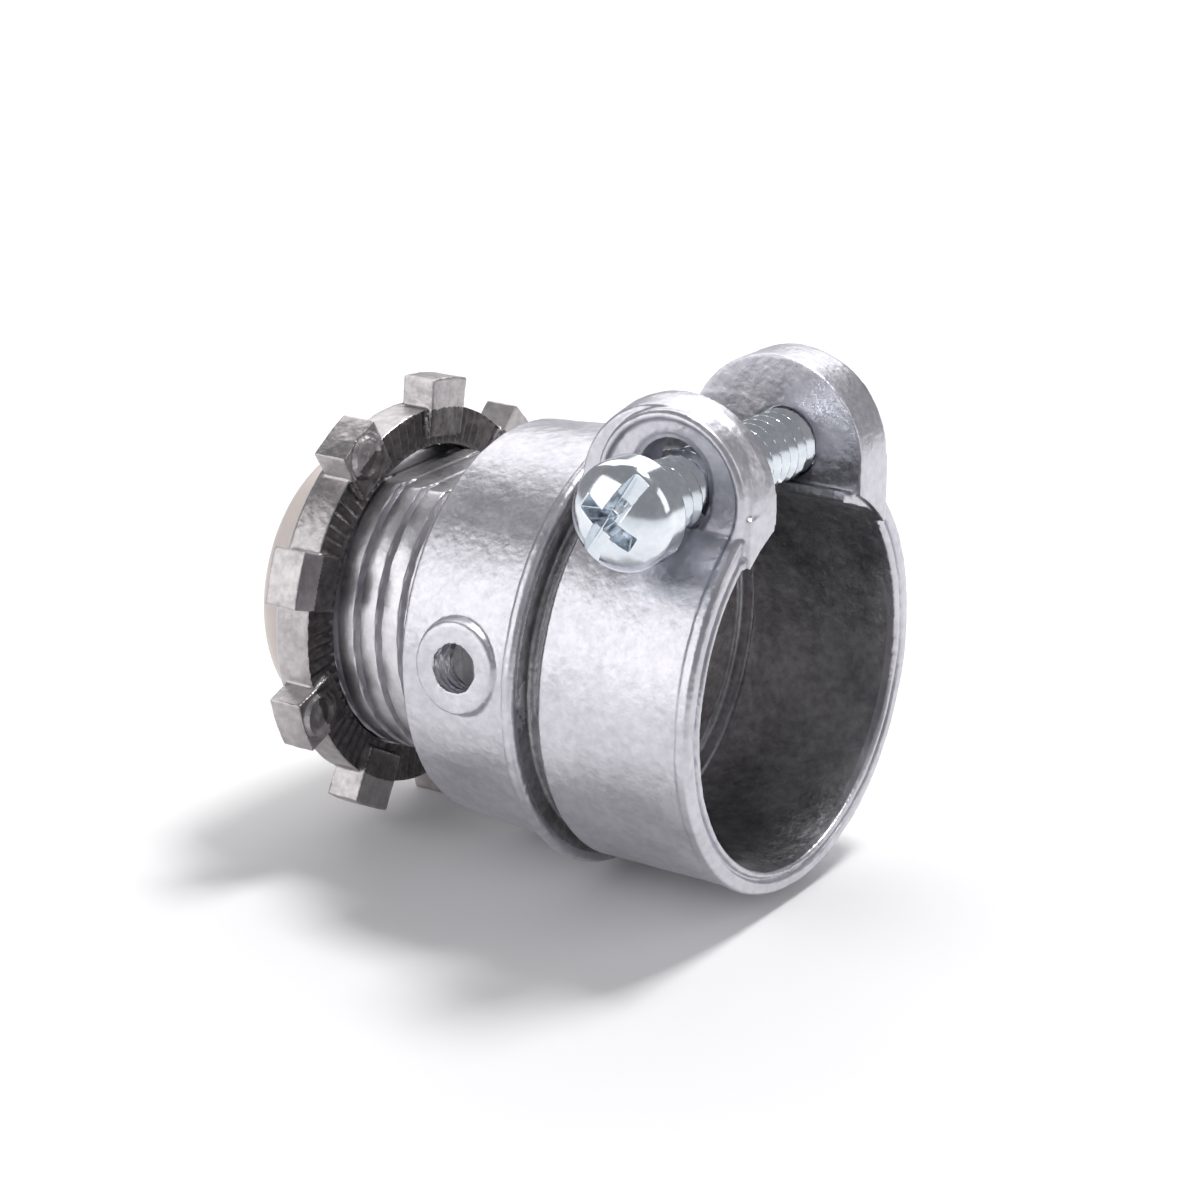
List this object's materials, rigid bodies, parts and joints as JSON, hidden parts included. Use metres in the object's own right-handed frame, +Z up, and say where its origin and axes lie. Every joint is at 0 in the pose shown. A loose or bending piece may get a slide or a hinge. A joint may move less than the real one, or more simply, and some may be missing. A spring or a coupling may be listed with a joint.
{
  "type": "flexible conduit squeeze connector",
  "caption": "One-screw squeeze connector for flexible metal conduit: zinc casting with clamp jaw and ears, clamp screw, locknut and insulated throat.",
  "frame": {"origin": "on the bore axis, straight below the clamp screw", "axes": "+X along the bore towards the conduit mouth, +Z up through the two ears, clamp screw along Y with its head at -Y"},
  "size_m": [0.0378, 0.0303, 0.0344],
  "materials": {
    "cast_zinc": "die-cast zinc, as cast and tumbled: bright grey, slightly rough, with satin highlights",
    "insulator_plastic": "moulded nylon, pale cream grey, smooth",
    "locknut_zinc": "die-cast zinc, darker and warmer than the body, grainy",
    "plated_steel": "bright blue zinc plating on steel"
  },
  "bodies": {
    "body": {"connector_body": "cast_zinc", "throat_insulator": "insulator_plastic"},
    "jaw": {"clamp_jaw": "cast_zinc"},
    "locknut": {"locknut": "locknut_zinc"},
    "screw": {"clamp_screw": "plated_steel"}
  },
  "joints": [
    {"name": "clamp_screw_travel", "type": "slide", "parent": "body", "child": "screw", "axis": [0, 1, 0], "range_m": [0, 0.0034]},
    {"name": "jaw_squeeze", "type": "hinge", "parent": "body", "child": "jaw", "pos_m": [0, -0.01223, -0.00064], "axis": [-1, 0, 0], "range_deg": [0, 8]},
    {"name": "locknut_spin", "type": "hinge", "parent": "body", "child": "locknut", "pos_m": [-0.0251, 0, 0], "axis": [1, 0, 0], "continuous": true}
  ],
  "couplings": [
    {"joint": "jaw_squeeze", "follows": "clamp_screw_travel", "rad_per_m": 41}
  ]
}
